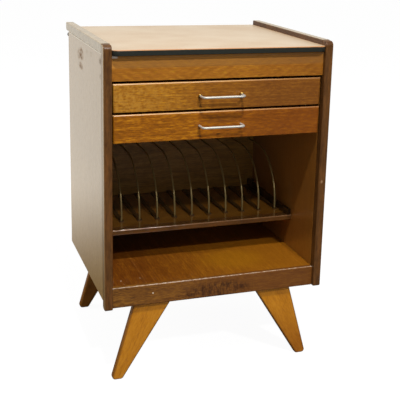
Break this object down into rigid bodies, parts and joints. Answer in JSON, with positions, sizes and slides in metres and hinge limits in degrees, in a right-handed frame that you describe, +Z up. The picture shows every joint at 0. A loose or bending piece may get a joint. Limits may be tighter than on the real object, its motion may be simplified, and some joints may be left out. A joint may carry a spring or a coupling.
{
  "type": "record nightstand",
  "caption": "Nightstand cabinet on splayed board legs with drawers, bent rod handles, a raised-rim laminate top and an open rack of wire hoops above a low open bay.",
  "frame": {"origin": "centre of the whole object on the floor, in plan the middle of its box", "axes": "+X to the right seen from the front, +Y to the back, +Z up"},
  "size_m": [0.49, 0.4354, 0.7215],
  "materials": {
    "base_veneer": "mid-brown veneer with lying grain, satin lacquer",
    "black_edging": "black plastic edging, smooth",
    "brass": "turned brass, lightly tarnished",
    "dark_lipping": "dark stained solid wood, lacquered",
    "dark_peg": "dark turned peg, matt",
    "dark_stained_wood": "dark stained board, glossy lacquer",
    "front_veneer": "walnut-brown veneer with lying grain, satin lacquer",
    "handle_steel": "bright drawn rod",
    "laminate": "cream decorative laminate with a fine print, satin",
    "leg_beech": "honey-stained beech, satin lacquer",
    "plain_beech": "plain unstained beech",
    "plywood": "plain birch plywood, oiled",
    "rack_wire": "dull brassy-grey plated wire",
    "side_veneer": "brown veneer under clear lacquer, satin to gloss",
    "zinc_steel": "zinc-plated steel"
  },
  "bodies": {
    "cabinet": {"back_panel": "plywood", "back_panel_screws": "zinc_steel", "base_front": "base_veneer", "bottom_board": "base_veneer", "divider_strips": "dark_stained_wood", "drawer_1_runner_left": "plain_beech", "drawer_1_runner_right": "plain_beech", "drawer_2_runner_left": "plain_beech", "drawer_2_runner_right": "plain_beech", "end_batten_left": "dark_stained_wood", "end_batten_right": "dark_stained_wood", "front_bearer": "plain_beech", "front_post_left": "dark_lipping", "front_post_right": "dark_lipping", "hoop_wire_01": "rack_wire", "hoop_wire_02": "rack_wire", "hoop_wire_03": "rack_wire", "hoop_wire_04": "rack_wire", "hoop_wire_05": "rack_wire", "hoop_wire_06": "rack_wire", "hoop_wire_07": "rack_wire", "hoop_wire_08": "rack_wire", "hoop_wire_09": "rack_wire", "hoop_wire_10": "rack_wire", "hoop_wire_11": "rack_wire", "leg_front_left": "leg_beech", "leg_front_right": "leg_beech", "leg_rear_left": "leg_beech", "leg_rear_right": "leg_beech", "leg_screws": "zinc_steel", "rear_base_rail": "plain_beech", "rear_pegs": "dark_peg", "rear_top_rail": "plain_beech", "record_shelf": "dark_stained_wood", "shelf_lipping": "dark_stained_wood", "side_panel_left": "side_veneer", "side_panel_right": "side_veneer", "top_board": "plywood", "top_cleats": "plain_beech", "top_edge_strip": "black_edging", "top_laminate": "laminate", "top_rail": "front_veneer", "top_rim_left": "dark_lipping", "top_rim_right": "dark_lipping"},
    "drawer_1": {"drawer_1_back": "plain_beech", "drawer_1_bottom": "plywood", "drawer_1_front": "front_veneer", "drawer_1_handle": "handle_steel", "drawer_1_handle_bushes": "brass", "drawer_1_handle_nuts": "zinc_steel", "drawer_1_side_left": "plain_beech", "drawer_1_side_right": "plain_beech"},
    "drawer_2": {"drawer_2_back": "plain_beech", "drawer_2_bottom": "plywood", "drawer_2_front": "front_veneer", "drawer_2_handle": "handle_steel", "drawer_2_handle_nuts": "zinc_steel", "drawer_2_side_left": "plain_beech", "drawer_2_side_right": "plain_beech"}
  },
  "joints": [
    {"name": "drawer_1_slide", "type": "slide", "parent": "cabinet", "child": "drawer_1", "axis": [0, -1, 0], "range_m": [0, 0.25]},
    {"name": "drawer_2_slide", "type": "slide", "parent": "cabinet", "child": "drawer_2", "axis": [0, -1, 0], "range_m": [0, 0.25]}
  ]
}
